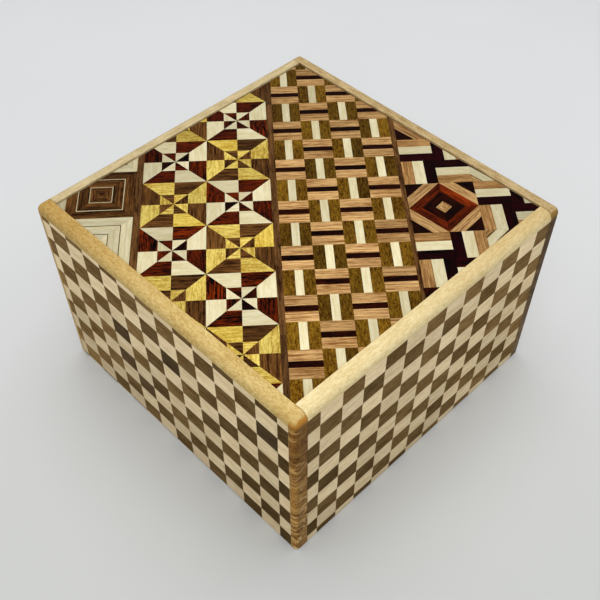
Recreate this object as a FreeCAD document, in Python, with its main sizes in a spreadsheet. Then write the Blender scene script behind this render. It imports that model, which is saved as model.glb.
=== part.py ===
import FreeCAD, Part
import Sketcher
import os

# Wooden secret box: a square box of thin boards whose closed joints hide how it opens.
# An inner box of four walls and a floor carries two fixed side boards and a fixed base.
# The two end panels ride on dovetail keys and drop by the lid's thickness, which frees the lid.
# Frame: origin at the centre of the base, +Z up, end panels on +X and -X, lid on top.

DRIVING_SIZES = {
    "box_length": 105.7,
    "box_depth": 105.3,
    "box_height": 66.2,
    "board_thickness": 4.25,
    "veneer_thickness": 0.3,
    "corner_radius": 1.5,
    "rim_radius": 2.4,
    "foot_radius": 0.6,
    "bare_rim_height": 3.0,
    "bare_corner_width": 2.3,
    "slide_gap": 0.15,
    "lid_gap": 0.2,
    "lid_recess": 0.4,
    "lid_thickness": 4.0,
    "lid_seat_gap": 0.05,
    "base_thickness": 4.0,
    "panel_foot_gap": 0.2,
    "panel_travel": 4.8,
    "side_wall_thickness": 3.0,
    "end_wall_thickness": 4.0,
    "floor_thickness": 2.5,
    "key_length": 25.0,
    "key_depth": 2.6,
    "key_neck_width": 8.0,
    "key_back_width": 11.0,
    "key_end_gap": 0.1,
    "peg_radius": 1.0,
    "peg_length": 10.0,
    "peg_low_height": 18.0,
    "peg_spacing": 30.0,
}

doc = FreeCAD.newDocument("secret_box")
sheet = doc.addObject("Spreadsheet::Sheet", "Sizes")
for row, (alias, value) in enumerate(DRIVING_SIZES.items(), start=1):
    sheet.set(f"A{row}", alias)
    sheet.set(f"B{row}", str(value))
    sheet.setAlias(f"B{row}", alias)
doc.recompute()


def size(alias):
    """The expression that reads one cell of the sheet."""
    return f"Sizes.{alias}"


# Distances from the box's centre planes, each an expression in the sheet's cells.
HALF_LENGTH = f"{size('box_length')} / 2"
HALF_DEPTH = f"{size('box_depth')} / 2"
PANEL_INNER_X = f"({HALF_LENGTH} - {size('board_thickness')})"
BOARD_INNER_Y = f"({HALF_DEPTH} - {size('board_thickness')})"
END_WALL_OUTER_X = f"({PANEL_INNER_X} - {size('slide_gap')})"
END_WALL_INNER_X = f"({END_WALL_OUTER_X} - {size('end_wall_thickness')})"
SIDE_WALL_INNER_Y = f"({BOARD_INNER_Y} - {size('side_wall_thickness')})"

# Heights above the base.
BASE_TOP = f"({size('base_thickness')} + {size('veneer_thickness')})"
LID_TOP = f"({size('box_height')} - {size('lid_recess')})"
LID_BOARD_TOP = f"({LID_TOP} - {size('veneer_thickness')})"
LID_BOTTOM = f"({LID_BOARD_TOP} - {size('lid_thickness')})"
WALL_TOP = f"({LID_BOTTOM} - {size('lid_seat_gap')})"
KEY_BOTTOM = f"({BASE_TOP} + {size('panel_travel')} + {size('key_end_gap')})"
VENEER_TOP = f"({size('box_height')} - {size('bare_rim_height')})"


def box(name, low, extent):
    """A plain box from its lowest corner and its extents, both given as expressions."""
    block = doc.addObject("Part::Box", name)
    for axis, place in zip("xyz", low):
        block.setExpression(f"Placement.Base.{axis}", place)
    for prop, length in zip(("Length", "Width", "Height"), extent):
        block.setExpression(prop, length)
    return block


def low_side(side, inner, thickness):
    """Lowest coordinate of a slab that starts at inner and goes outward on that side."""
    return inner if side > 0 else f"-({inner} + {thickness})"


def boolean(kind, name, base, tool):
    """Part::Cut or Part::Common of two objects."""
    result = doc.addObject(f"Part::{kind}", name)
    result.Base = base
    result.Tool = tool
    return result


def fuse(name, shapes):
    """Several solids as one object."""
    result = doc.addObject("Part::MultiFuse", name)
    result.Shapes = shapes
    return result


def origin_plane(body, role):
    """One of a body's own origin planes."""
    return next(f for f in body.Origin.OriginFeatures if f.Role == role)


def sketch_on_xy(body, name, height="0"):
    """An empty sketch parallel to the body's XY plane at a height given as an expression."""
    sketch = body.newObject("Sketcher::SketchObject", name)
    sketch.AttachmentSupport = [(origin_plane(body, "XY_Plane"), "")]
    sketch.MapMode = "FlatFace"
    sketch.setExpression("AttachmentOffset.Base.z", height)
    return sketch


def closed_outline(sketch, points):
    """Lines through the points in order, joined end to end."""
    count = len(points)
    for index, (x, y) in enumerate(points):
        next_x, next_y = points[(index + 1) % count]
        start = FreeCAD.Vector(x, y, 0)
        end = FreeCAD.Vector(next_x, next_y, 0)
        sketch.addGeometry(Part.LineSegment(start, end), False)
    for index in range(count):
        follower = (index + 1) % count
        sketch.addConstraint(Sketcher.Constraint("Coincident", index, 2, follower, 1))


def bind_distance(sketch, kind, geometry, expression, name):
    """A named length constraint on one line, driven by an expression."""
    line = sketch.Geometry[geometry]
    along = line.EndPoint - line.StartPoint
    value = abs(along.x) if kind == "DistanceX" else abs(along.y)
    forward = (along.x if kind == "DistanceX" else along.y) > 0
    first, second = (1, 2) if forward else (2, 1)
    index = sketch.addConstraint(
        Sketcher.Constraint(kind, geometry, first, geometry, second, value))
    sketch.renameConstraint(index, name)
    sketch.setExpression(f"Constraints.{name}", expression)


def pad(body, name, sketch, length):
    """A pad upward from a sketch."""
    feature = body.newObject("PartDesign::Pad", name)
    feature.Profile = sketch
    feature.setExpression("Length", length)
    sketch.Visibility = False
    return feature


def fillet(body, name, base, chosen, radius):
    """A fillet on the base feature's edges that the test chooses."""
    doc.recompute()
    edges = [f"Edge{i}" for i, edge in enumerate(base.Shape.Edges, start=1) if chosen(edge)]
    feature = body.newObject("PartDesign::Fillet", name)
    feature.Base = (base, edges)
    feature.setExpression("Radius", radius)
    return feature


def is_vertical(edge):
    bounds = edge.BoundBox
    return bounds.ZLength > max(bounds.XLength, bounds.YLength)


def lies_at_height(edge, height):
    bounds = edge.BoundBox
    return abs(bounds.ZMin - height) < 1e-4 and abs(bounds.ZMax - height) < 1e-4


def rounded_blank():
    """The whole box as one block, rounded over the way it is sanded once it is glued up."""
    length = DRIVING_SIZES["box_length"]
    depth = DRIVING_SIZES["box_depth"]
    body = doc.addObject("PartDesign::Body", "rounded_blank")
    outline = sketch_on_xy(body, "blank_outline")
    closed_outline(outline, [(-length / 2, -depth / 2), (length / 2, -depth / 2),
                             (length / 2, depth / 2), (-length / 2, depth / 2)])
    for kind, lines in (("Horizontal", (0, 2)), ("Vertical", (1, 3))):
        for line in lines:
            outline.addConstraint(Sketcher.Constraint(kind, line))
    outline.addConstraint(Sketcher.Constraint("Symmetric", 0, 1, 2, 1, -1, 1))
    bind_distance(outline, "DistanceX", 0, size("box_length"), "length")
    bind_distance(outline, "DistanceY", 1, size("box_depth"), "depth")
    block = pad(body, "blank_block", outline, size("box_height"))
    top = DRIVING_SIZES["box_height"]
    rim = fillet(body, "blank_rim", block, lambda e: lies_at_height(e, top), size("rim_radius"))
    corners = fillet(body, "blank_corners", rim, is_vertical, size("corner_radius"))
    fillet(body, "blank_foot", corners, lambda e: lies_at_height(e, 0), size("foot_radius"))
    return body


def dovetail(name, side, clearance, bottom, length):
    """A bar along Z with a dovetail section, wider at its back, reaching in from an end panel."""
    neck_x = DRIVING_SIZES["box_length"] / 2 - DRIVING_SIZES["board_thickness"]
    back_x = neck_x - DRIVING_SIZES["key_depth"]
    neck = DRIVING_SIZES["key_neck_width"] / 2
    back = DRIVING_SIZES["key_back_width"] / 2
    body = doc.addObject("PartDesign::Body", name)
    section = sketch_on_xy(body, f"{name}_section", bottom)
    closed_outline(section, [(side * neck_x, -neck), (side * neck_x, neck),
                             (side * back_x, back), (side * back_x, -back)])
    section.addConstraint(Sketcher.Constraint("Symmetric", 0, 1, 0, 2, -1))
    section.addConstraint(Sketcher.Constraint("Symmetric", 2, 1, 2, 2, -1))
    widening = f"2 * {clearance}"
    bind_distance(section, "DistanceY", 0, f"{size('key_neck_width')} + {widening}", "neck")
    bind_distance(section, "DistanceY", 2, f"{size('key_back_width')} + {widening}", "back")
    deep = f"{size('key_depth')} + {clearance}"
    bind_distance(section, "DistanceX", 1, deep, "depth")
    place_from_centre(section, side, neck_x)
    pad(body, f"{name}_bar", section, length)
    return body


def place_from_centre(section, side, neck_x):
    """Holds the neck's line on the end panel's inner face."""
    index = section.addConstraint(
        Sketcher.Constraint("DistanceX", -1, 1, 0, 1, side * neck_x))
    section.renameConstraint(index, "neck_place")
    section.setExpression("Constraints.neck_place", f"{side} * {PANEL_INNER_X}")


nodes = []


def node(shape_object):
    """Marks a finished piece of the box: its object's name is its node's name."""
    shape_object.Label = shape_object.Name
    nodes.append(shape_object)
    return shape_object


def side_board(name, side, blank):
    """A fixed full-length board and the veneer on its outer face."""
    thickness = size("board_thickness")
    slab = box(f"{name}_slab",
               (f"-{HALF_LENGTH}", low_side(side, BOARD_INNER_Y, thickness), "0"),
               (size("box_length"), thickness, size("box_height")))
    board = boolean("Common", f"{name}_blank", blank, slab)
    face_y = f"({HALF_DEPTH} - {size('veneer_thickness')})"
    sheet_zone = box(f"{name}_sheet",
                     (f"-{HALF_LENGTH} + {size('bare_corner_width')}",
                      low_side(side, face_y, size("veneer_thickness")), "0"),
                     (f"{size('box_length')} - 2 * {size('bare_corner_width')}",
                      size("veneer_thickness"), VENEER_TOP))
    node(boolean("Cut", f"{name}_board", board, sheet_zone))
    node(boolean("Common", f"{name}_veneer", board, sheet_zone))


def end_panel(name, side, blank):
    """A sliding end panel, the veneer on its outer face and the dovetail key on its back."""
    thickness = size("board_thickness")
    half_width = f"({BOARD_INNER_Y} - {size('slide_gap')})"
    low_y = f"-{half_width}"
    width = f"2 * {half_width}"
    foot = size("panel_foot_gap")
    slab = box(f"{name}_slab", (low_side(side, PANEL_INNER_X, thickness), low_y, foot),
               (thickness, width, f"{size('box_height')} - {foot}"))
    panel = boolean("Common", f"{name}_blank", blank, slab)
    face_x = f"({HALF_LENGTH} - {size('veneer_thickness')})"
    sheet_zone = box(f"{name}_sheet",
                     (low_side(side, face_x, size("veneer_thickness")), low_y, "0"),
                     (size("veneer_thickness"), width, VENEER_TOP))
    node(boolean("Cut", f"{name}_end_panel", panel, sheet_zone))
    node(boolean("Common", f"{name}_end_veneer", panel, sheet_zone))
    node(dovetail(f"{name}_panel_key", side, "0", KEY_BOTTOM, size("key_length")))


def peg_bars(name, side, long_axis_start):
    """Four round pegs along Y, two at each end of a side wall."""
    pegs = []
    for end in (-1, 1):
        for level in (0, 1):
            peg = doc.addObject("Part::Cylinder", f"{name}_peg_{len(pegs) + 1}")
            peg.setExpression("Radius", size("peg_radius"))
            peg.setExpression("Height", size("peg_length"))
            peg.Placement.Rotation = FreeCAD.Rotation(FreeCAD.Vector(1, 0, 0), side * 90)
            middle = f"({END_WALL_OUTER_X} - {size('end_wall_thickness')} / 2)"
            peg.setExpression("Placement.Base.x", f"{end} * {middle}")
            peg.setExpression("Placement.Base.y", f"{side} * {long_axis_start}")
            height = f"{size('peg_low_height')} + {level} * {size('peg_spacing')}"
            peg.setExpression("Placement.Base.z", height)
            pegs.append(peg)
    return pegs


def side_wall(name, side):
    """An inner side wall, drilled for the pegs that pin it to the end walls."""
    thickness = size("side_wall_thickness")
    slab = box(f"inner_{name}_slab",
               (f"-{END_WALL_OUTER_X}", low_side(side, SIDE_WALL_INNER_Y, thickness), BASE_TOP),
               (f"2 * {END_WALL_OUTER_X}", thickness, f"{WALL_TOP} - {BASE_TOP}"))
    pegs = fuse(f"{name}_wall_pegs", peg_bars(name, side, BOARD_INNER_Y))
    node(boolean("Cut", f"inner_{name}_wall", slab, pegs))
    node(pegs)
    return pegs


def end_wall(name, side, pegs):
    """An inner end wall, with the dovetail groove for the panel's key and its peg holes."""
    thickness = size("end_wall_thickness")
    slab = box(f"inner_{name}_slab",
               (low_side(side, END_WALL_INNER_X, thickness), f"-{SIDE_WALL_INNER_Y}", BASE_TOP),
               (thickness, f"2 * {SIDE_WALL_INNER_Y}", f"{WALL_TOP} - {BASE_TOP}"))
    groove_length = (f"{KEY_BOTTOM} - {BASE_TOP} + {size('key_length')}"
                     f" + {size('key_end_gap')}")
    groove = dovetail(f"{name}_groove", side, size("slide_gap"), BASE_TOP, groove_length)
    grooved = boolean("Cut", f"inner_{name}_grooved", slab, groove)
    node(boolean("Cut", f"inner_{name}_wall", grooved, pegs))


def inner_box():
    """Four pinned walls and the floor of the compartment."""
    pegs = [side_wall("front", -1), side_wall("back", 1)]
    all_pegs = fuse("wall_pegs", pegs)
    end_wall("left", -1, all_pegs)
    end_wall("right", 1, all_pegs)
    node(box("compartment_floor", (f"-{END_WALL_INNER_X}", f"-{SIDE_WALL_INNER_Y}", BASE_TOP),
             (f"2 * {END_WALL_INNER_X}", f"2 * {SIDE_WALL_INNER_Y}", size("floor_thickness"))))


def base():
    """The fixed base board between the side boards, with its veneer underneath."""
    low = (f"-{END_WALL_OUTER_X}", f"-{BOARD_INNER_Y}")
    extent = (f"2 * {END_WALL_OUTER_X}", f"2 * {BOARD_INNER_Y}")
    node(box("base_panel", (*low, size("veneer_thickness")), (*extent, size("base_thickness"))))
    node(box("base_veneer", (*low, "0"), (*extent, size("veneer_thickness"))))


def lid():
    """The lid, set in between the four rims, with its veneer on top."""
    half_x = f"({PANEL_INNER_X} - {size('lid_gap')})"
    half_y = f"({BOARD_INNER_Y} - {size('lid_gap')})"
    low = (f"-{half_x}", f"-{half_y}")
    extent = (f"2 * {half_x}", f"2 * {half_y}")
    node(box("lid_panel", (*low, LID_BOTTOM), (*extent, size("lid_thickness"))))
    node(box("lid_veneer", (*low, LID_BOARD_TOP), (*extent, size("veneer_thickness"))))


blank = rounded_blank()
side_board("front", -1, blank)
side_board("back", 1, blank)
end_panel("right", 1, blank)
end_panel("left", -1, blank)
inner_box()
base()
lid()
doc.recompute()

for item in doc.Objects:
    if "Invalid" in item.State or "Error" in item.State:
        raise RuntimeError(f"{item.Name} failed: {item.State}")

os.makedirs("parts", exist_ok=True)
for piece in nodes:
    shape = piece.Shape
    if shape.isNull() or not shape.isValid() or not shape.Solids:
        raise RuntimeError(f"{piece.Label} has no valid solid")
    shape.exportStep(f"parts/{piece.Label}.step")
    box_mm = shape.BoundBox
    print(f"{piece.Label:20s} {len(shape.Solids)} solid(s) {shape.Volume:10.1f} mm3 "
          f"x {box_mm.XMin:.2f}..{box_mm.XMax:.2f} y {box_mm.YMin:.2f}..{box_mm.YMax:.2f} "
          f"z {box_mm.ZMin:.2f}..{box_mm.ZMax:.2f}")
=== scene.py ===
import math
import random

import bmesh
import bpy
from mathutils import Matrix, Vector


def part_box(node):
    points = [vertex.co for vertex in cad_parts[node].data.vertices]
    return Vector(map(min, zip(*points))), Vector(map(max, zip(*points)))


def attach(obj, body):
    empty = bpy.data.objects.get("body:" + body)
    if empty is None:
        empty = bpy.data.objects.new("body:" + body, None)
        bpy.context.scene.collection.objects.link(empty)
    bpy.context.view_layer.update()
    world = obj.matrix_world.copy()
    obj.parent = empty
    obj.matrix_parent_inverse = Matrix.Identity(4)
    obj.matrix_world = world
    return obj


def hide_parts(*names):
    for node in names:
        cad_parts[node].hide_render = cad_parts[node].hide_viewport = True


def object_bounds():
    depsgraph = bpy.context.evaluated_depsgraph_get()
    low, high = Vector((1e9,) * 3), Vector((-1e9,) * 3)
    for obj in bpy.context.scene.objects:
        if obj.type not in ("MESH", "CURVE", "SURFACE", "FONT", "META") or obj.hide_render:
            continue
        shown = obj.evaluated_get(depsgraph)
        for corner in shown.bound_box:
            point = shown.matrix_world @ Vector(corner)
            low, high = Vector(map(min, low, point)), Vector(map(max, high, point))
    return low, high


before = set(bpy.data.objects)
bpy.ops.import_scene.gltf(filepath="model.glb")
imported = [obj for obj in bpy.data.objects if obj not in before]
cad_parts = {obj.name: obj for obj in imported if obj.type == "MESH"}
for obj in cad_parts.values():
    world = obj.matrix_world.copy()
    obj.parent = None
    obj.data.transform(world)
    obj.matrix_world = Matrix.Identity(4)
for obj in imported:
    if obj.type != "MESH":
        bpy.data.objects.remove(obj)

# A wooden secret box covered with marquetry. The CAD boards keep their shapes and get wood
# materials; each CAD veneer sheet is replaced by a sheet made of separate wooden tiles.
# Lengths in the patterns are in millimetres on the face of a sheet, turned to metres at the end.

CAD_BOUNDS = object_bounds()
MM = 0.001
SEED = 20
SEAM = 0.03
VENEER = 0.3
FOOT_RADIUS = 0.6

BOX_LENGTH = (CAD_BOUNDS[1][0] - CAD_BOUNDS[0][0]) / MM
BOX_DEPTH = (CAD_BOUNDS[1][1] - CAD_BOUNDS[0][1]) / MM
BOX_HEIGHT = (CAD_BOUNDS[1][2] - CAD_BOUNDS[0][2]) / MM
END_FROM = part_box("front_veneer")[1].x / MM


# ---------------------------------------------------------------- colours and wood materials

def srgb(red, green, blue):
    """A display colour, 0 to 255, as linear values for a shader."""
    def linear(value):
        value /= 255
        return value / 12.92 if value <= 0.04045 else ((value + 0.055) / 1.055) ** 2.4
    return (linear(red), linear(green), linear(blue), 1.0)


class Tree:
    """A material's node tree with a Principled shader, and short ways to add nodes to it."""

    def __init__(self, name):
        self.material = bpy.data.materials.new(name)
        self.material.use_nodes = True
        self.nodes = self.material.node_tree.nodes
        self.links = self.material.node_tree.links
        self.shader = self.nodes["Principled BSDF"]

    def add(self, kind, **settings):
        node = self.nodes.new(kind)
        for key, value in settings.items():
            setattr(node, key, value)
        return node

    def join(self, source, target):
        self.links.new(source, target)

    def noise(self, vector, stretch, detail=4.0, roughness=0.6, distortion=0.0, shift=0.0):
        """Noise whose cells are stretched by one over each factor along the three axes."""
        mapping = self.add("ShaderNodeMapping")
        mapping.inputs["Scale"].default_value = stretch
        mapping.inputs["Location"].default_value = (shift, shift * 0.7, shift * 1.3)
        self.join(vector, mapping.inputs["Vector"])
        noise = self.add("ShaderNodeTexNoise")
        noise.inputs["Scale"].default_value = 1.0
        noise.inputs["Detail"].default_value = detail
        noise.inputs["Roughness"].default_value = roughness
        noise.inputs["Distortion"].default_value = distortion
        self.join(mapping.outputs["Vector"], noise.inputs["Vector"])
        return noise.outputs["Fac"]

    def spread(self, value, low, high, to_low=0.0, to_high=1.0):
        node = self.add("ShaderNodeMapRange")
        node.inputs["From Min"].default_value = low
        node.inputs["From Max"].default_value = high
        node.inputs["To Min"].default_value = to_low
        node.inputs["To Max"].default_value = to_high
        self.join(value, node.inputs["Value"])
        return node.outputs["Result"]

    def math(self, operation, first, second):
        node = self.add("ShaderNodeMath", operation=operation)
        for socket, value in zip(node.inputs, (first, second)):
            if isinstance(value, (int, float)):
                socket.default_value = value
            else:
                self.join(value, socket)
        return node.outputs["Value"]

    def ramp(self, value, stops):
        node = self.add("ShaderNodeValToRGB")
        elements = node.color_ramp.elements
        while len(elements) < len(stops):
            elements.new(0.5)
        for element, (place, colour) in zip(elements, stops):
            element.position = place
            element.color = colour
        self.join(value, node.inputs["Fac"])
        return node.outputs["Color"]

    def mix(self, factor, first, second, blend="MIX"):
        node = self.add("ShaderNodeMix", data_type="RGBA", blend_type=blend)
        for socket, value in ((node.inputs[0], factor), (node.inputs[6], first),
                              (node.inputs[7], second)):
            if isinstance(value, (int, float, tuple)):
                socket.default_value = value
            else:
                self.join(value, socket)
        return node.outputs[2]


STREAK_SHARE = 0.5
CLOUD_SHARE = 0.18
FINE_SHARE = 0.32
PORE_SHADE = 0.32
COAT_ROUGHNESS = 0.22
GRAIN_RELIEF = 0.06


def wood(name, dark, light, streak=1.0, pores=0.35, length=0.07, veins=0.12,
         along=None, end_grain=None, fade=None, gloss=0.42, shine=0.02, coat=0.03):
    """Wood with streaks and pores along the grain.

    streak is how narrow the streaks are, length is cells per millimetre along the grain, and
    pores is how dark the pores are. A higher veins leaves the light colour to fewer streaks.
    Tiles read the grain's direction from their UV map, in millimetres. A board reads its own
    coordinates, with the grain along the axis that 'along' names, and may show end grain.
    """
    tree = Tree(name)
    grain = tile_grain(tree) if along is None else board_grain(tree, along)
    fine = tree.noise(grain, (max(4 * length, 0.3), 2.4, 2.4), 3, 0.7, 0.2, 7.0)
    figure = wood_figure(tree, grain, fine, streak, length)
    colour = tree.ramp(figure, [(veins, dark), (0.88, light)])
    pore = tree.noise(grain, (max(length, 0.18), 4.5, 4.5), 2, 0.5, 0.0, 13.0)
    pore_mask = tree.spread(pore, 0.56, 0.68, 0.0, pores)
    pore_colour = tuple(PORE_SHADE * c for c in dark[:3]) + (1.0,)
    colour = tree.mix(pore_mask, colour, pore_colour)
    if along is None:
        # The tone attribute holds each tile's random tone, times the painted light of the lid and
        # the sides.
        tone = tree.add("ShaderNodeAttribute", attribute_name="tone")
        colour = tree.mix(1.0, colour, tone.outputs["Color"], "MULTIPLY")
    # fade paints shade toward one end of the board.
    if fade:
        colour = end_painted_shade(tree, colour, fade)
    if end_grain:
        colour = end_grain_colour(tree, colour, end_grain)
    tree.join(colour, tree.shader.inputs["Base Color"])
    rough = tree.spread(fine, 0.3, 0.7, gloss - 0.06, gloss + 0.08)
    tree.join(rough, tree.shader.inputs["Roughness"])
    tree.shader.inputs["Coat Weight"].default_value = coat
    tree.shader.inputs["Coat Roughness"].default_value = COAT_ROUGHNESS
    tree.shader.inputs["Specular IOR Level"].default_value = shine
    raise_grain(tree, tree.math("SUBTRACT", fine, pore_mask))
    return tree.material


def tile_grain(tree):
    return tree.add("ShaderNodeUVMap", uv_map="grain").outputs["UV"]


def board_grain(tree, along):
    """A board's own coordinates in millimetres, turned so that the grain runs along X."""
    turns = {"X": (0, 0, 0), "Y": (0, 0, -math.pi / 2), "Z": (0, math.pi / 2, 0)}
    place = tree.add("ShaderNodeTexCoord")
    turn = tree.add("ShaderNodeMapping")
    turn.inputs["Scale"].default_value = (1 / MM, 1 / MM, 1 / MM)
    turn.inputs["Rotation"].default_value = turns[along]
    tree.join(place.outputs["Object"], turn.inputs["Vector"])
    return turn.outputs["Vector"]


def wood_figure(tree, grain, fine, streak, length):
    """Long streaks, broad clouds and fine lines, added up in fixed shares."""
    streaks = tree.noise(grain, (length, 1.1 * streak, 1.1 * streak), 4, 0.65, 0.5)
    clouds = tree.noise(grain, (0.06, 0.14, 0.14), 2, 0.5, 0.0, 3.0)
    figure = tree.math("ADD", tree.math("MULTIPLY", streaks, STREAK_SHARE),
                       tree.math("MULTIPLY", clouds, CLOUD_SHARE))
    figure = tree.math("ADD", figure, tree.math("MULTIPLY", fine, FINE_SHARE))
    return tree.spread(figure, 0.39, 0.61)


def raise_grain(tree, height):
    bump = tree.add("ShaderNodeBump")
    bump.inputs["Strength"].default_value = 0.12
    bump.inputs["Distance"].default_value = GRAIN_RELIEF * MM
    tree.join(height, bump.inputs["Height"])
    tree.join(bump.outputs["Normal"], tree.shader.inputs["Normal"])


def end_painted_shade(tree, colour, fade):
    """Painted shade: darker, browner wood toward one end of a board, where the light falls off.

    fade is a tint, an axis, where on it the tint begins and where it is full, and the share
    of the tint that the board's upright faces take.
    """
    tint, axis, begin, full, upright = fade
    place = tree.add("ShaderNodeTexCoord")
    split = tree.add("ShaderNodeSeparateXYZ")
    tree.join(place.outputs["Object"], split.inputs["Vector"])
    share = tree.spread(split.outputs[axis], begin * MM, full * MM)
    facing = tree.add("ShaderNodeSeparateXYZ")
    tree.join(place.outputs["Normal"], facing.inputs["Vector"])
    share = tree.math("MULTIPLY", share, tree.spread(facing.outputs["Z"], 0.0, 1.0, upright))
    return tree.mix(share, colour, tint, "MULTIPLY")


RING_SHARE = 0.6
LINE_STRENGTH = 0.85
SHOULDER_STRENGTH = 0.9
SHOULDER_FROM, SHOULDER_TO = 62.2, 64.6
# The end grain gets darker toward the top: where that begins and where it is full, in millimetres,
# and its tint.
END_TOP_DARK_FROM, END_TOP_DARK_TO = 0.0, 60.0
END_TOP_DARK = srgb(196, 180, 158)
FRONT_GLOW = (1.45, 1.4, 1.2, 1.0)


def end_grain_colour(tree, colour, woods):
    """Darker wood with growth rings on a board's ends, and right round the end at high X."""
    place = tree.add("ShaderNodeTexCoord")
    scale = tree.add("ShaderNodeMapping")
    scale.inputs["Scale"].default_value = (1 / MM, 1 / MM, 1 / MM)
    tree.join(place.outputs["Object"], scale.inputs["Vector"])
    facing = tree.add("ShaderNodeSeparateXYZ")
    tree.join(place.outputs["Normal"], facing.inputs["Vector"])
    spot = tree.add("ShaderNodeSeparateXYZ")
    tree.join(scale.outputs["Vector"], spot.inputs["Vector"])

    ends = growth_rings(tree, scale.outputs["Vector"], woods)
    # Darker toward the top.
    topward_dark = tree.spread(spot.outputs["Z"], END_TOP_DARK_FROM, END_TOP_DARK_TO)
    ends = tree.mix(topward_dark, ends, END_TOP_DARK, "MULTIPLY")
    frontward = tree.spread(facing.outputs["Y"], -0.35, -0.9)
    ends = tree.mix(frontward, ends, FRONT_GLOW, "MULTIPLY")
    shoulder = tree.spread(spot.outputs["Z"], SHOULDER_FROM, SHOULDER_TO)
    ends = tree.mix(tree.math("MULTIPLY", shoulder, SHOULDER_STRENGTH), ends, woods["shoulder"])

    sideways = tree.spread(tree.math("ABSOLUTE", facing.outputs["X"], 0.0), 0.62, 0.80)
    post = tree.spread(spot.outputs["X"], END_FROM - 0.2, END_FROM + 0.2)
    post = tree.math("MULTIPLY", post, tree.spread(facing.outputs["Z"], 0.75, 0.25))
    return tree.mix(tree.math("MAXIMUM", sideways, post), colour, ends)


def growth_rings(tree, spot, woods):
    """Wavy rings that do not change along X, with a few thin pale lines."""
    rings = tree.noise(spot, (0.0, 0.10, 0.34), 3, 0.6, 0.5, 21.0)
    lines = tree.noise(spot, (0.0, 0.12, 0.30), 2, 0.4, 0.4, 5.0)
    speckle = tree.noise(spot, (2.0, 2.8, 0.6), 2, 0.6, 0.0, 9.0)
    ring = tree.math("ADD", tree.math("MULTIPLY", rings, RING_SHARE),
                     tree.math("MULTIPLY", speckle, 1 - RING_SHARE))
    ends = tree.ramp(tree.spread(ring, 0.36, 0.64), woods["rings"])
    thin = tree.math("MULTIPLY", tree.spread(lines, 0.47, 0.50), tree.spread(lines, 0.53, 0.50))
    return tree.mix(tree.math("MULTIPLY", thin, LINE_STRENGTH), ends, woods["lines"])


WOODS = {
    "cream": wood("cream_wood", srgb(211, 196, 150), srgb(232, 222, 184),
                  streak=0.8, pores=0.08, length=0.1),
    "yellow": wood("yellow_wood", srgb(176, 137, 42), srgb(240, 216, 114),
                   streak=1.5, pores=0.3, length=0.3),
    "amber": wood("amber_wood", srgb(181, 144, 43), srgb(231, 204, 98),
                  streak=1.5, pores=0.3, length=0.3),
    "walnut": wood("walnut_wood", srgb(33, 10, 0), srgb(109, 71, 32),
                   streak=1.2, pores=0.7, length=0.08),
    "red": wood("red_wood", srgb(0, 0, 0), srgb(96, 29, 1),
                streak=1.6, pores=0.5, length=0.14, veins=0.26),
    "rosewood": wood("rosewood", srgb(0, 0, 0), srgb(125, 41, 2),
                     streak=1.4, pores=0.5, length=0.12, veins=0.26),
    "chestnut": wood("chestnut_wood", srgb(19, 0, 0), srgb(121, 40, 3),
                     streak=1.0, pores=0.5, length=0.1),
    "black": wood("black_wood", srgb(0, 0, 0), srgb(41, 7, 0),
                  streak=1.0, pores=0.4, length=0.15),
    "umber": wood("umber_wood", srgb(37, 18, 3), srgb(103, 69, 36),
                  streak=1.2, pores=0.5, length=0.1),
    "olive": wood("olive_wood", srgb(56, 29, 0), srgb(124, 90, 20),
                  streak=1.6, pores=0.45, length=0.5),
    "tan": wood("tan_wood", srgb(128, 82, 36), srgb(217, 174, 115),
                streak=1.7, pores=0.5, length=0.05),
    "caramel": wood("caramel_wood", srgb(128, 85, 41), srgb(206, 158, 99),
                    streak=1.7, pores=0.5, length=0.05),
    "purple": wood("purple_wood", srgb(0, 0, 0), srgb(34, 0, 2),
                   streak=1.0, pores=0.3, length=0.1),
    "side_dark": wood("side_dark_wood", srgb(96, 72, 40), srgb(135, 109, 72),
                      streak=1.2, pores=0.4, length=0.15, shine=0.0, coat=0.0),
    "side_ink": wood("side_ink_wood", srgb(72, 56, 38), srgb(104, 84, 60),
                     streak=1.2, pores=0.3, length=0.15, shine=0.0, coat=0.0),
    "side_cream": wood("side_cream_wood", srgb(217, 192, 149), srgb(245, 224, 184),
                       streak=0.9, pores=0.14, length=0.12, shine=0.0, coat=0.0),
}

PALE = ("cream", "yellow", "amber", "tan", "caramel", "side_cream")
PALE_TONES = (0.84, 1.12)
DARK_TONES = (0.6, 1.36)
SIDE_TONE_SHARE = 0.7
SMALLEST_TILE = 0.02


# ---------------------------------------------------------------- flat shapes on a sheet

def clip(points, normal, limit):
    """The part of a convex polygon where the dot product with normal is at most limit."""
    kept = []
    for index, point in enumerate(points):
        follower = points[(index + 1) % len(points)]
        here = limit - normal[0] * point[0] - normal[1] * point[1]
        there = limit - normal[0] * follower[0] - normal[1] * follower[1]
        if here >= 0:
            kept.append(point)
        if here * there < 0:
            share = here / (here - there)
            kept.append((point[0] + share * (follower[0] - point[0]),
                         point[1] + share * (follower[1] - point[1])))
    return kept


def area(points):
    total = 0.0
    for index, (x, y) in enumerate(points):
        next_x, next_y = points[(index + 1) % len(points)]
        total += x * next_y - next_x * y
    return total / 2


def anticlockwise(points):
    return list(points) if area(points) > 0 else list(reversed(points))


def clip_to(points, outline, shrink=0.0):
    """The part of a convex polygon inside an anticlockwise convex outline, less a margin."""
    for index, (x, y) in enumerate(outline):
        next_x, next_y = outline[(index + 1) % len(outline)]
        length = math.hypot(next_x - x, next_y - y)
        if length < 1e-9:
            continue
        normal = ((next_y - y) / length, (x - next_x) / length)
        points = clip(points, normal, normal[0] * x + normal[1] * y - shrink)
        if len(points) < 3:
            return []
    return points


def rectangle(low_x, low_y, high_x, high_y):
    return [(low_x, low_y), (high_x, low_y), (high_x, high_y), (low_x, high_y)]


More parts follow.
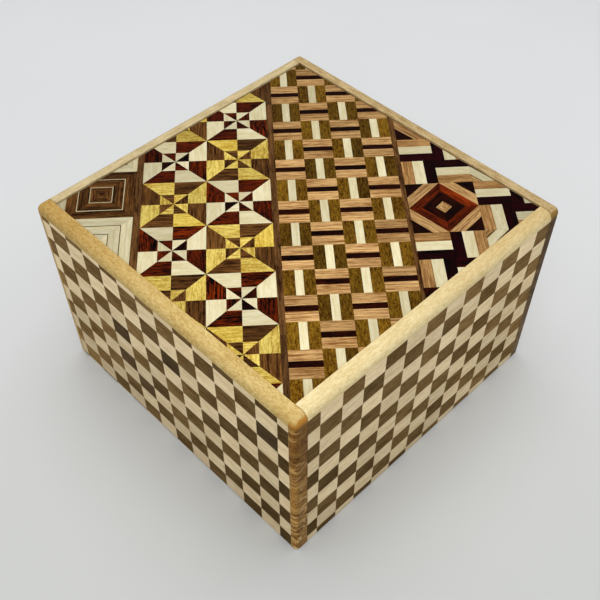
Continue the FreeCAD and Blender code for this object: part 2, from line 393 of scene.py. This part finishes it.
def turned(points, angle, centre=(0.0, 0.0), shift=(0.0, 0.0)):
    """Points turned about a centre, then moved."""
    cosine, sine = math.cos(angle), math.sin(angle)
    result = []
    for x, y in points:
        x, y = x - centre[0], y - centre[1]
        result.append((centre[0] + shift[0] + cosine * x - sine * y,
                       centre[1] + shift[1] + sine * x + cosine * y))
    return result


class Pattern:
    """Tiles in one flat frame: each a convex polygon, a wood and the angle of its grain."""

    def __init__(self, seed):
        self.tiles = []
        self.random = random.Random(seed)

    def add(self, points, wood_name, grain=0.0):
        tone = self.random.uniform(*(PALE_TONES if wood_name in PALE else DARK_TONES))
        if wood_name.startswith("side"):
            tone = 1 + SIDE_TONE_SHARE * (tone - 1)
        self.tiles.append((anticlockwise(points), wood_name, grain, tone))

    def squeeze(self, factor, rise):
        """Scales the pattern's height and then raises it."""
        self.tiles = [([(x, y * factor + rise) for x, y in points], wood_name, grain, tone)
                      for points, wood_name, grain, tone in self.tiles]

    def lean(self, slope, level):
        """Slants the upright lines a little, as hand-glued strips do, about one level."""
        self.tiles = [([(x + slope * (y - level), y) for x, y in points], wood_name, grain, tone)
                      for points, wood_name, grain, tone in self.tiles]

    def kept_in(self, outline, angle=0.0, shift=(0.0, 0.0), margin=0.0):
        """This pattern's tiles clipped to an outline, then turned and moved."""
        tiles = []
        for points, wood_name, grain, tone in self.tiles:
            inside = clip_to(points, outline, margin)
            if len(inside) > 2 and area(inside) > SMALLEST_TILE:
                moved = turned(inside, angle, shift=shift)
                tiles.append((moved, wood_name, grain + angle, tone))
        return tiles


def painted_light_tones(tiles, share):
    """The tiles with each tone multiplied by a share, worked out from middle and wood; the shares
    paint light and shade into the tones.
    """
    result = []
    for points, wood_name, grain, tone in tiles:
        x = sum(point[0] for point in points) / len(points)
        y = sum(point[1] for point in points) / len(points)
        result.append((points, wood_name, grain, tone * share(x, y, wood_name)))
    return result


# ---------------------------------------------------------------- the lid's pattern

# Each band has its own turn, about the lid's middle, and its own slight lean. A band's rows
# are measured across it from the lid's middle, and its blocks along it.
REACH = 75.0

CORNER_ANGLE = math.radians(-41.49)
CORNER_WIDTH = 20.15
CORNER_HEIGHT = 19.8
CORNER_LEFT = -7.33
CORNER_BASE = 31.35
CORNER_LEAN = -0.0122, 44

# A medallion's diamonds and its strips across the corners, as shares of half the square.
DARK_MEDALLION = {"diamonds": (1.0, 0.61, 0.235, 0.0),
                  "diamond_woods": ("chestnut", "black", "tan"),
                  "legs": (1.0, 0.55, 0.0), "leg_woods": ("tan", "black")}
PALE_MEDALLION = {"diamonds": (1.0, 0.4, 0.0), "diamond_woods": ("purple", "cream"),
                  "legs": (1.0, 0.68, 0.31, 0.27, 0.0),
                  "leg_woods": ("purple", "cream", "umber", "tan")}

BASKET_ANGLE = math.radians(-41.04)
BASKET_ROWS = (30.0, 21.0, 11.95, 3.1, -5.5)
BASKET_TOP = BASKET_ROWS[0]
BASKET_BASE = BASKET_ROWS[-1]
BASKET_PITCH = 9.01
BASKET_LEFT = -37.99
BASKET_LEAN = 0.0103, 13.6
BASKET_CORE = 0.26

STAR_ANGLE = math.radians(-40.91)
STAR_TOP = -7.33
STAR_BLOCK = 18.42
STAR_LEFT = -12.0
STAR_BASE = STAR_TOP - 2 * STAR_BLOCK
STAR_LEAN = 0.0074, -23
STAR_INNER = 0.43
BLACK_BLADES = {(1, -1): (0, 2), (0, 0): (2,), (1, 1): (0,), (0, 2): (0, 1)}

SQUARE_ANGLE = math.radians(-41.3)
SQUARE_TOP = STAR_BASE - 2.05
SQUARE_BLOCK = 19.3
SQUARE_LEFT = -17.4
RULE_WIDTH = 0.24

# Half the side of each square in a block, from the block's edge to its middle.
SQUARE_SIZES = (SQUARE_BLOCK / 2, 8.1, 6.6, 6.6 - RULE_WIDTH, 4.9, 3.3, 3.3 - RULE_WIDTH,
                1.6, 0.0)

DIVIDER_PIECE = 47.0
DIVIDER_MARGIN = 3

# Painted light on the lid's tiles: paler toward the near corner and darker toward the side
# corners, as the lamps light the lid.
NEAR_PAINTED_LIGHT = 0.15
NEAR_CURVE = 0.18
SIDE_PAINTED_SHADE = 0.62
DARK_NEAR_PAINTED_LIGHT = 0.23
DARK_SIDE_PAINTED_SHADE = 0.15


def windmill(pattern, centre, half, woods, black_sides=()):
    """A square of eight blades round a smaller windmill whose woods are swapped.

    The small dark blades on the sides in black_sides are black; side 0 is the top one.
    """
    light, dark, inner_light, inner_dark = woods
    inner = half * STAR_INNER
    for side in range(4):
        angle = -side * math.pi / 2
        blades = [
            ([(-half, half), (0, half), (0, inner), (-inner, inner)], light),
            ([(0, half), (half, half), (inner, inner), (0, inner)], dark),
            ([(0, 0), (-inner, inner), (0, inner)], inner_dark),
            ([(0, 0), (0, inner), (inner, inner)], inner_light),
        ]
        for index, (points, choices) in enumerate(blades):
            wood_name = pattern.random.choice(choices)
            if index == 2 and side in black_sides:
                wood_name = "black"
            placed = turned(points, angle)
            placed = [(centre[0] + x, centre[1] + y) for x, y in placed]
            pattern.add(placed, wood_name, angle)


def star_band():
    """Two rows of windmills, red and cream by turns with yellow and walnut."""
    pattern = Pattern(SEED + 1)
    red = (("cream",), ("red", "red", "rosewood"), ("cream",), ("red",))
    yellow = (("yellow", "yellow", "amber"), ("walnut",), ("yellow",), ("walnut",))
    half = STAR_BLOCK / 2
    for row in range(2):
        for column in range(-4, 6):
            centre = (STAR_LEFT + (column + 0.5) * STAR_BLOCK, STAR_TOP - (row + 0.5) * STAR_BLOCK)
            woods = red if (row + column) % 2 == 0 else yellow
            windmill(pattern, centre, half, woods, BLACK_BLADES.get((row, column), ()))
    pattern.lean(*STAR_LEAN)
    return pattern


def basket_band():
    """Four rows of three-bar blocks, laid along and across by turns like a woven mat."""
    pattern = Pattern(SEED + 2)
    for row in range(4):
        top = BASKET_ROWS[row]
        height = top - BASKET_ROWS[row + 1]
        for column in range(-5, 14):
            left = BASKET_LEFT + column * BASKET_PITCH
            along = (row + column) % 2 == 0
            bars = ("olive", "cream", "olive") if along else ("tan", "black", "tan")
            share = BASKET_CORE if along else BASKET_CORE * 0.85
            cuts = (0.0, 0.5 - share / 2, 0.5 + share / 2, 1.0)
            for index, wood_name in enumerate(bars):
                low, high = cuts[index], cuts[index + 1]
                if along:
                    points = rectangle(left, top - high * height, left + BASKET_PITCH,
                                       top - low * height)
                else:
                    points = rectangle(left + low * BASKET_PITCH, top - height,
                                       left + high * BASKET_PITCH, top)
                pattern.add(points, wood_name, 0.0 if along else math.pi / 2)
    pattern.lean(*BASKET_LEAN)
    return pattern


def diamond_ring(pattern, centre, outer, inner, wood_name):
    """Four mitred strips between two diamonds, or four triangles where inner is zero."""
    for side in range(4):
        angle = side * math.pi / 2
        points = [(outer, 0), (0, outer), (0, inner), (inner, 0)] if inner else [
            (outer, 0), (0, outer), (0, 0)]
        placed = [(centre[0] + x, centre[1] + y) for x, y in turned(points, angle)]
        pattern.add(placed, wood_name, angle + math.radians(135))


def corner_bands(pattern, centre, half, legs, woods):
    """Strips across the four corners of a square; legs are measured from each corner."""
    for side in range(4):
        angle = side * math.pi / 2
        for outer, inner, wood_name in zip(legs, legs[1:], woods):
            points = [(half - outer, half), (half - inner, half),
                      (half, half - inner), (half, half - outer)]
            if inner == 0:
                points = [(half - outer, half), (half, half), (half, half - outer)]
            placed = [(centre[0] + x, centre[1] + y) for x, y in turned(points, angle)]
            pattern.add(placed, wood_name, angle - math.radians(45))


def medallion(pattern, centre, half, plan):
    """Diamonds within diamonds in a square, and strips across its corners."""
    diamonds = [share * half for share in plan["diamonds"]]
    for outer, inner, wood_name in zip(diamonds, diamonds[1:], plan["diamond_woods"]):
        diamond_ring(pattern, centre, outer, inner, wood_name)
    legs = [share * half for share in plan["legs"]]
    corner_bands(pattern, centre, half, legs, plan["leg_woods"])


def rail_block(pattern, centre, half, woods):
    """Four quarters of three bars each, turning round the centre."""
    bar = half / 3
    for quarter in range(4):
        angle = -quarter * math.pi / 2
        for index, wood_name in enumerate(woods):
            points = rectangle(index * bar, 0, (index + 1) * bar, half)
            placed = [(centre[0] + x, centre[1] + y) for x, y in turned(points, angle)]
            pattern.add(placed, wood_name, angle + math.pi / 2)


def corner_band():
    """Medallions and turning rails by turns, in squares."""
    pattern = Pattern(SEED + 3)
    half = CORNER_WIDTH / 2
    for row in range(3):
        for column in range(-4, 5):
            centre = (CORNER_LEFT + (column + 0.5) * CORNER_WIDTH,
                      (row + 0.5) * CORNER_WIDTH)
            if (row + column) % 2:
                rail_block(pattern, centre, half, ("purple", "cream", "caramel"))
            else:
                plan = PALE_MEDALLION if row % 2 else DARK_MEDALLION
                medallion(pattern, centre, half, plan)
    pattern.squeeze(CORNER_HEIGHT / CORNER_WIDTH, CORNER_BASE)
    pattern.lean(*CORNER_LEAN)
    return pattern


def mitred_square(pattern, centre, outer, inner, wood_name):
    """A frame of four mitred strips between two squares, with the grain along each side."""
    for side in range(4):
        angle = side * math.pi / 2
        points = [(-outer, outer), (outer, outer), (inner, inner), (-inner, inner)]
        if inner == 0:
            points = [(-outer, outer), (outer, outer), (0, 0)]
        placed = [(centre[0] + x, centre[1] + y) for x, y in turned(points, angle)]
        pattern.add(placed, wood_name, angle)


def square_band():
    """Nested squares, walnut with pale lines by turns with cream and dark lines."""
    pattern = Pattern(SEED + 4)
    for row in range(2):
        for column in range(-4, 6):
            centre = (SQUARE_LEFT + (column + 0.5) * SQUARE_BLOCK,
                      SQUARE_TOP - (row + 0.5) * SQUARE_BLOCK)
            ground, rule = ("walnut", "cream") if (row + column) % 2 == 0 else ("cream", "umber")
            woods = [ground, ground, rule, ground, ground, rule, ground, ground]
            for outer, inner, wood_name in zip(SQUARE_SIZES, SQUARE_SIZES[1:], woods):
                mitred_square(pattern, centre, outer, inner, wood_name)
    return pattern


def divider(below, above):
    """A plain strip that fills the gap between two bands' edges, in four lengths."""
    base, base_angle = below
    top, top_angle = above
    middle = (base_angle + top_angle) / 2
    pattern = Pattern(SEED + 5)
    for index in range(-2, 2):
        points = rectangle(index * DIVIDER_PIECE, base - DIVIDER_MARGIN,
                           (index + 1) * DIVIDER_PIECE, top + DIVIDER_MARGIN)
        points = turned(points, middle)
        points = clip(points, (-math.sin(top_angle), math.cos(top_angle)), top)
        points = clip(points, (math.sin(base_angle), -math.cos(base_angle)), -base)
        pattern.add(points, "umber", middle)
    return pattern.tiles


def lid_tiles():
    """All the bands, each at its own slight angle across the lid, and the strips between, with
    painted light in their tones.
    """
    bands = [
        (corner_band(), CORNER_BASE, REACH, CORNER_ANGLE),
        (basket_band(), BASKET_BASE, BASKET_TOP, BASKET_ANGLE),
        (star_band(), STAR_BASE, STAR_TOP, STAR_ANGLE),
        (square_band(), -REACH, SQUARE_TOP, SQUARE_ANGLE),
    ]
    tiles = []
    for pattern, base, top, angle in bands:
        tiles += pattern.kept_in(rectangle(-REACH, base, REACH, top), angle)
    for upper, lower in zip(bands, bands[1:]):
        tiles += divider((lower[2], lower[3]), (upper[1], upper[3]))
    return painted_light_tones(tiles, lid_painted_light)


def lid_painted_light(x, y, wood_name):
    """Painted light: paler toward the near corner, and for the pale woods painted shade toward the
    side corners.
    """
    near = (x - y) / BOX_LENGTH
    side = (x + y) / BOX_LENGTH
    if wood_name in PALE:
        return math.exp(NEAR_PAINTED_LIGHT * near - NEAR_CURVE * near ** 2 - SIDE_PAINTED_SHADE * side ** 2)
    return math.exp(DARK_NEAR_PAINTED_LIGHT * near - DARK_SIDE_PAINTED_SHADE * side ** 2)


# ---------------------------------------------------------------- the checkerboard sheets

CELL_WIDTH = 7.82
CELL_HEIGHT = 6.71
CHECKER_LEAN = 0.0037, 4.65
# Painted light on the upright sheets: how much paler their tiles get toward the top.
TOP_PAINTED_LIGHT = 0.15
FRONT_INK = ((-4, 3), (-6, 3), (-3, 6), (-7, 4), (-2, 11))

# A grid corner on each face: its distance from the face's left edge and from its top edge.
FRONT_CORNER = 5.83, 4.65
RIGHT_CORNER = 8.66, 8.91
BACK_CORNER = 4.4, 5.9
LEFT_CORNER = 7.3, 7.4
BASE_CORNER = 5.2, 4.1


def checker_tiles(width, height, first, angle, seed, ink=()):
    """A checkerboard over a face; first is a grid corner, from the face's lower left corner.

    The cells in ink, each a row and a column from that grid corner, are of a blacker wood.
    """
    pattern = Pattern(seed)
    for row in range(-11, 14):
        for column in range(-15, 16):
            wood_name = "side_cream"
            if (row + column) % 2 == 1:
                wood_name = "side_ink" if (row, column) in ink else "side_dark"
            low_x, low_y = column * CELL_WIDTH, row * CELL_HEIGHT
            points = rectangle(low_x, low_y, low_x + CELL_WIDTH, low_y + CELL_HEIGHT)
            pattern.add(points, wood_name)
    pattern.lean(*CHECKER_LEAN)
    outline = turned(rectangle(0, 0, width, height), -angle, centre=first)
    outline = [(x - first[0], y - first[1]) for x, y in outline]
    return pattern.kept_in(outline, angle, shift=first)


# ---------------------------------------------------------------- sheets of tiles

LID_EASE = 0.25
EASE_SLOPE = 0.4
DEEPEST_SINK = 0.93 * VENEER


class Sheet:
    """A veneer sheet: its face's origin and axes, its outline and how its border is rounded."""

    def __init__(self, node, right, up, foot_round=0.0, edge_ease=0.0):
        self.node = node
        self.low, self.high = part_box(node)
        self.right, self.up = Vector(right), Vector(up)
        self.out = self.right.cross(self.up)
        corners = [Vector((x, y, z)) for x in (self.low.x, self.high.x)
                   for y in (self.low.y, self.high.y) for z in (self.low.z, self.high.z)]
        self.left = min(c.dot(self.right) for c in corners) / MM
        self.width = max(c.dot(self.right) for c in corners) / MM - self.left
        self.base = min(c.dot(self.up) for c in corners) / MM
        self.height = max(c.dot(self.up) for c in corners) / MM - self.base
        self.face = max(c.dot(self.out) for c in corners) / MM
        self.foot_round = foot_round
        self.edge_ease = edge_ease

    def sink(self, x, y):
        """How far the rounded border lies under the flat face, at a point of the sheet."""
        depth = 0.0
        if self.foot_round:
            past = min(max(self.foot_round - y, 0.0), self.foot_round)
            depth = max(depth, self.foot_round - math.sqrt(self.foot_round ** 2 - past ** 2))
        if self.edge_ease:
            edge = min(x, y, self.width - x, self.height - y)
            depth = max(depth, EASE_SLOPE * max(self.edge_ease - edge, 0.0))
        return min(depth, DEEPEST_SINK)

    def cuts(self):
        """Lines where the tiles are divided, so that they can follow a rounded border."""
        lines = []
        if self.foot_round:
            lines += [((0, 1), self.foot_round * part) for part in (0.25, 0.5, 0.75, 1.0)]
        if self.edge_ease:
            ease = self.edge_ease
            lines += [((1, 0), ease), ((1, 0), self.width - ease),
                      ((0, 1), ease), ((0, 1), self.height - ease)]
        return lines

    def point(self, x, y, depth):
        return ((self.left + x) * self.right + (self.base + y) * self.up
                + (self.face - depth) * self.out) * MM

    def build(self, name, tiles, body, seed):
        """One object of separate thin tiles, with a hairline between neighbours."""
        names = sorted({tile[1] for tile in tiles})
        flat = bmesh.new()
        owner = flat.faces.layers.int.new("tile")
        for number, (points, _wood, _grain, _tone) in enumerate(tiles):
            points = clip_to(points, rectangle(0, 0, self.width, self.height))
            points = clip_to(points, points, SEAM / 2) if len(points) > 2 else []
            points = without_doubles(points)
            if len(points) > 2 and area(points) > 0.01:
                face = flat.faces.new([flat.verts.new((x, y, 0)) for x, y in points])
                face[owner] = number
        for normal, limit in self.cuts():
            everything = flat.verts[:] + flat.edges[:] + flat.faces[:]
            spot = Vector((normal[0] * limit, normal[1] * limit, 0))
            bmesh.ops.bisect_plane(flat, geom=everything, dist=1e-5, plane_co=spot,
                                   plane_no=(normal[0], normal[1], 0))
        mesh = self.thicken(flat, owner, tiles, names, name, seed)
        flat.free()
        piece = bpy.data.objects.new(name, mesh)
        bpy.context.scene.collection.objects.link(piece)
        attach(piece, body)
        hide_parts(self.node)
        return piece

    def thicken(self, flat, owner, tiles, names, name, seed):
        """Turns the flat tiles into solid ones and sets woods, tones and grain."""
        flat.verts.index_update()
        count = len(flat.verts)
        front = [self.point(v.co.x, v.co.y, self.sink(v.co.x, v.co.y)) for v in flat.verts]
        back = [self.point(v.co.x, v.co.y, VENEER) for v in flat.verts]
        faces, numbers = [], []
        for face in flat.faces:
            ring = [v.index for v in face.verts]
            faces += [ring, [i + count for i in reversed(ring)]]
            numbers += [face[owner]] * 2
            for loop in face.loops:
                if len(loop.edge.link_faces) == 1:
                    here, there = loop.vert.index, loop.link_loop_next.vert.index
                    faces.append([here, here + count, there + count, there])
                    numbers.append(face[owner])
        mesh = bpy.data.meshes.new(name)
        mesh.from_pydata(front + back, [], faces)
        for wood_name in names:
            mesh.materials.append(WOODS[wood_name])
        mesh.polygons.foreach_set("material_index", [names.index(tiles[n][1]) for n in numbers])
        mesh.uv_layers.new(name="grain")
        mesh.color_attributes.new("tone", "FLOAT_COLOR", "CORNER")
        dice = random.Random(seed)
        offsets = [(dice.uniform(0, 400), dice.uniform(0, 400)) for _ in tiles]
        flat_points = [(v.co.x, v.co.y) for v in flat.verts] * 2
        grain, tones = [], []
        for polygon, number in zip(mesh.polygons, numbers):
            _points, _wood, angle, shade = tiles[number]
            for corner in polygon.loop_indices:
                x, y = flat_points[mesh.loops[corner].vertex_index]
                along, across = turned([(x, y)], -angle)[0]
                grain += [along + offsets[number][0], across + offsets[number][1]]
                tones += [shade, shade, shade, 1.0]
        mesh.uv_layers["grain"].data.foreach_set("uv", grain)
        mesh.color_attributes["tone"].data.foreach_set("color", tones)
        mesh.validate()
        return mesh


def without_doubles(points):
    """The polygon without points that lie on each other."""
    kept = []
    for point in points:
        if not kept or math.dist(point, kept[-1]) > 1e-3:
            kept.append(point)
    if len(kept) > 1 and math.dist(kept[0], kept[-1]) <= 1e-3:
        kept.pop()
    return kept


def checker_sheet(name, node, body, right, first, angle, seed, ink=(), drift=0.0):
    """One upright side's checkerboard; first is a grid corner, from the whole face's top left.

    The tiles are paler toward the top as painted light from above, and the dark ones by drift
    toward the right end too.
    """
    sheet = Sheet(node, right, (0, 0, 1), foot_round=FOOT_RADIUS)
    whole = BOX_LENGTH if right[0] else BOX_DEPTH
    corner = (first[0] - (whole - sheet.width) / 2, BOX_HEIGHT - first[1] - sheet.base)
    tiles = checker_tiles(sheet.width, sheet.height, corner, math.radians(angle), seed, ink)

    # Painted light: paler toward the top; drift makes the dark tiles paler or darker toward the
    # right end.
    def side_painted_light_and_drift(x, y, wood_name):
        across = 2 * x / sheet.width - 1
        rise = 2 * y / sheet.height - 1
        return 1 + TOP_PAINTED_LIGHT * rise + (0.0 if wood_name in PALE else drift * across)

    return sheet.build(name, painted_light_tones(tiles, side_painted_light_and_drift), body, seed)


def base_sheet():
    """The checkerboard under the base."""
    sheet = Sheet("base_veneer", (1, 0, 0), (0, -1, 0))
    tiles = checker_tiles(sheet.width, sheet.height, BASE_CORNER, math.radians(0.4), SEED + 15)
    sheet.build("base_marquetry", tiles, "box", SEED + 15)


def lid_sheet():
    """The lid's pattern, moved from the lid's middle to the sheet's lower left corner."""
    sheet = Sheet("lid_veneer", (1, 0, 0), (0, 1, 0), edge_ease=LID_EASE)
    middle = (sheet.width / 2, sheet.height / 2)
    tiles = [([(x + middle[0], y + middle[1]) for x, y in points], wood_name, grain, tone)
             for points, wood_name, grain, tone in lid_tiles()]
    sheet.build("lid_marquetry", tiles, "lid", SEED + 16)


def veneer_sheets():
    """The six sheets; the angles are how far each checkerboard is out of level, in degrees."""
    checker_sheet("front_marquetry", "front_veneer", "box", (1, 0, 0), FRONT_CORNER,
                  angle=-0.60, seed=SEED + 11, ink=FRONT_INK, drift=-0.42)
    checker_sheet("right_marquetry", "right_end_veneer", "right_panel", (0, 1, 0), RIGHT_CORNER,
                  angle=-0.25, seed=SEED + 12, drift=0.26)
    checker_sheet("back_marquetry", "back_veneer", "box", (-1, 0, 0), BACK_CORNER,
                  angle=0.5, seed=SEED + 13)
    checker_sheet("left_marquetry", "left_end_veneer", "left_panel", (0, -1, 0), LEFT_CORNER,
                  angle=0.3, seed=SEED + 14)
    base_sheet()
    lid_sheet()


# ---------------------------------------------------------------- boards

END_GRAIN = {"rings": [(0.1, srgb(102, 68, 24)), (0.9, srgb(178, 138, 76))],
             "lines": srgb(214, 182, 128), "shoulder": srgb(190, 134, 58)}
DARK_END_GRAIN = {"rings": [(0.1, srgb(84, 64, 38)), (0.9, srgb(122, 98, 64))],
                  "lines": srgb(150, 124, 84), "shoulder": srgb(150, 118, 60)}

# The fades on the front and right boards are painted shade toward their far ends.
BOARD_WOODS = {
    "front": wood("front_board_wood", srgb(187, 152, 84), srgb(222, 196, 131),
                  streak=1.6, pores=0.12, length=0.9, along="X", end_grain=END_GRAIN,
                  fade=(srgb(224, 210, 188), "X", 5, -50, 0.6)),
    "back": wood("back_board_wood", srgb(155, 127, 79), srgb(200, 175, 129),
                 streak=1.6, pores=0.2, length=0.3, along="X", end_grain=DARK_END_GRAIN),
    "right": wood("right_panel_wood", srgb(218, 194, 137), srgb(241, 223, 173),
                  streak=1.3, pores=0.1, length=0.5, along="Y",
                  fade=(srgb(226, 216, 202), "Y", -30, 45, 0.0)),
    "left": wood("left_panel_wood", srgb(179, 158, 113), srgb(211, 192, 148),
                 streak=1.2, pores=0.2, length=0.2, along="Y"),
    "inner_x": wood("inner_wood_x", srgb(196, 158, 106), srgb(224, 190, 140),
                    streak=0.9, pores=0.25, length=0.07, along="X", gloss=0.6),
    "inner_y": wood("inner_wood_y", srgb(190, 152, 100), srgb(220, 186, 136),
                    streak=0.9, pores=0.25, length=0.07, along="Y", gloss=0.6),
    "key": wood("key_wood", srgb(92, 58, 32), srgb(134, 92, 56),
                streak=1.0, pores=0.3, length=0.1, along="Z", gloss=0.5),
    "peg": wood("peg_wood", srgb(186, 152, 92), srgb(216, 186, 128),
                streak=2.0, pores=0.3, length=0.15, along="Y", gloss=0.5),
}

NODE_WOODS = {
    "front_board": "front", "back_board": "back",
    "right_end_panel": "right", "left_end_panel": "left",
    "lid_panel": "inner_x", "base_panel": "inner_x", "compartment_floor": "inner_x",
    "inner_front_wall": "inner_x", "inner_back_wall": "inner_x",
    "inner_left_wall": "inner_y", "inner_right_wall": "inner_y",
    "right_panel_key": "key", "left_panel_key": "key",
    "front_wall_pegs": "peg", "back_wall_pegs": "peg",
}


def finish_boards():
    """Wood on every CAD board, wall, key and peg."""
    for node, wood_name in NODE_WOODS.items():
        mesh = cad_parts[node].data
        mesh.materials.clear()
        mesh.materials.append(BOARD_WOODS[wood_name])


# ---------------------------------------------------------------- floor, light and camera

# The floor's size and the lamps' places are in metres. The floor's level, just under the
# box, and the camera's place are in millimetres.
FLOOR_SIZE = 3.0
FLOOR_LEVEL = -0.05
FLOOR_DARK = (0.705, 0.715, 0.72, 1.0)
FLOOR_LIGHT = (0.73, 0.74, 0.745, 1.0)
# Painted shade on the floor in front of the box, where the light falls off: its tint, and where it
# begins and where it is full.
NEAR_FLOOR_PAINTED_SHADE = (0.78, 0.785, 0.76, 1.0)
FLOOR_PAINTED_SHADE_SPAN = -0.10, 0.16
SKY_COLOUR = (0.98, 0.99, 1.0, 1.0)
HORIZON_STRENGTH = 0.50
ZENITH_STRENGTH = 0.60
LAMP_AIM = (0, 0, 0.03)

CAMERA_PLACE = (133.99, -129.39, 235.74)
CAMERA_AZIMUTH = math.radians(45.46)
CAMERA_ELEVATION = math.radians(52.36)
CAMERA_ROLL = math.radians(-0.08)
CAMERA_LENS = 52.67
CAMERA_SHIFT = -0.0068, 0.1003


def floor_material():
    """A pale, nearly even grey, with painted shade making it a little darker in front of the box
    than behind it.
    """
    tree = Tree("pale_floor")
    place = tree.add("ShaderNodeTexCoord")
    cloud = tree.noise(place.outputs["Object"], (9.0, 9.0, 9.0), 4, 0.6)
    tint = tree.ramp(cloud, [(0.3, FLOOR_DARK), (0.7, FLOOR_LIGHT)])
    split = tree.add("ShaderNodeSeparateXYZ")
    tree.join(place.outputs["Object"], split.inputs["Vector"])
    # Painted shade: darker toward the front.
    nearness = tree.math("SUBTRACT", split.outputs["X"], split.outputs["Y"])
    nearness = tree.spread(nearness, *FLOOR_PAINTED_SHADE_SPAN)
    tint = tree.mix(nearness, tint, NEAR_FLOOR_PAINTED_SHADE, "MULTIPLY")
    tree.join(tint, tree.shader.inputs["Base Color"])
    tree.shader.inputs["Roughness"].default_value = 0.8
    tree.shader.inputs["Specular IOR Level"].default_value = 0.1
    return tree.material


def floor():
    """A large square, a hair below the box so that the two do not share a plane."""
    mesh = bpy.data.meshes.new("floor")
    level = FLOOR_LEVEL * MM
    corners = [(x, y, level) for x, y in rectangle(-FLOOR_SIZE, -FLOOR_SIZE,
                                                   FLOOR_SIZE, FLOOR_SIZE)]
    mesh.from_pydata(corners, [], [(0, 1, 2, 3)])
    mesh.materials.append(floor_material())
    plane = bpy.data.objects.new("floor", mesh)
    bpy.context.scene.collection.objects.link(plane)


def sky_dome():
    """Even studio light, dimmer toward the horizon."""
    world = bpy.data.worlds.new("studio")
    bpy.context.scene.world = world
    world.use_nodes = True
    nodes, links = world.node_tree.nodes, world.node_tree.links
    place = nodes.new("ShaderNodeTexCoord")
    split = nodes.new("ShaderNodeSeparateXYZ")
    fade = nodes.new("ShaderNodeMapRange")
    fade.inputs["From Min"].default_value = -0.1
    fade.inputs["From Max"].default_value = 0.9
    fade.inputs["To Min"].default_value = HORIZON_STRENGTH
    fade.inputs["To Max"].default_value = ZENITH_STRENGTH
    links.new(place.outputs["Generated"], split.inputs["Vector"])
    links.new(split.outputs["Z"], fade.inputs["Value"])
    sky = nodes["Background"]
    sky.inputs["Color"].default_value = SKY_COLOUR
    links.new(fade.outputs["Result"], sky.inputs["Strength"])


def lamp(name, place, size, power):
    """A square soft lamp aimed at the box, without a mirror image in the wood."""
    light = bpy.data.lights.new(name, "AREA")
    light.energy = power
    light.size = size
    holder = bpy.data.objects.new(name, light)
    holder.location = place
    aim = Vector(LAMP_AIM) - Vector(place)
    holder.rotation_euler = aim.to_track_quat("-Z", "Y").to_euler()
    holder.visible_glossy = False
    bpy.context.scene.collection.objects.link(holder)


def place_camera():
    """The viewing place: above the near corner, with a normal lens."""
    camera = bpy.data.cameras.new("camera")
    camera.sensor_width = 36.0
    camera.lens = CAMERA_LENS
    camera.shift_x, camera.shift_y = CAMERA_SHIFT
    camera.clip_start = 0.01
    holder = bpy.data.objects.new("camera", camera)
    forward = Vector((-math.sin(CAMERA_AZIMUTH) * math.cos(CAMERA_ELEVATION),
                      math.cos(CAMERA_AZIMUTH) * math.cos(CAMERA_ELEVATION),
                      -math.sin(CAMERA_ELEVATION)))
    level_right = forward.cross(Vector((0, 0, 1))).normalized()
    level_up = level_right.cross(forward)
    right = math.cos(CAMERA_ROLL) * level_right + math.sin(CAMERA_ROLL) * level_up
    up = -math.sin(CAMERA_ROLL) * level_right + math.cos(CAMERA_ROLL) * level_up
    axes = Matrix((right, up, -forward)).transposed()
    holder.matrix_world = Matrix.Translation(Vector(CAMERA_PLACE) * MM) @ axes.to_4x4()
    bpy.context.scene.collection.objects.link(holder)
    bpy.context.scene.camera = holder


place_camera()
floor()
sky_dome()
lamp("overhead_softbox", place=(-0.05, 0.09, 0.80), size=0.6, power=2.9)
lamp("front_softbox", place=(0.22, -0.24, 0.40), size=0.3, power=0.55)
finish_boards()
veneer_sheets()
bpy.context.scene.view_settings.view_transform = "Standard"
